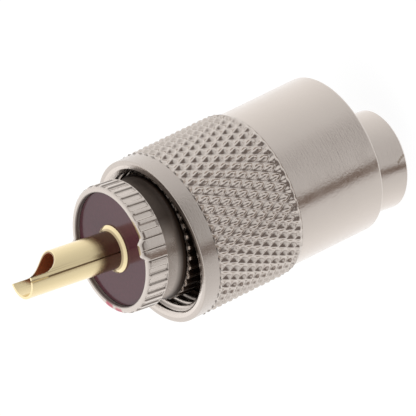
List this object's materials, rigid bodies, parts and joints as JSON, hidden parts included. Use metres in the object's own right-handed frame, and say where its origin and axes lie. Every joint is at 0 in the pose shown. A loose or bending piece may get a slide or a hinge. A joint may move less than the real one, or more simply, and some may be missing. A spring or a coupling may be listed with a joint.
{
  "type": "uhf connector",
  "caption": "Screw-on coaxial cable plug with a scooped tubular centre pin, a keyed fluted collar and a loose knurled coupling ring.",
  "frame": {"origin": "middle of the flat cable end of the body, on which the plug stands", "axes": "+Z along the body axis from the cable end to the centre pin; the resting coupling ring leans towards +X"},
  "size_m": [0.02, 0.018, 0.0451],
  "materials": {
    "nickel_plate": "satin nickel plate over turned brass",
    "gilt_brass": "thin gold plate on rolled brass",
    "phenolic": "glossy moulded phenolic"
  },
  "bodies": {
    "plug": {"plug_body": "nickel_plate", "insulator": "phenolic", "centre_pin": "gilt_brass"},
    "ring": {"coupling_ring": "nickel_plate"}
  },
  "joints": [
    {"name": "ring_turn", "type": "hinge", "parent": "plug", "child": "ring", "pos_m": [0, 0, 0.02391], "axis": [0.1179, 0, 0.993], "continuous": true}
  ]
}
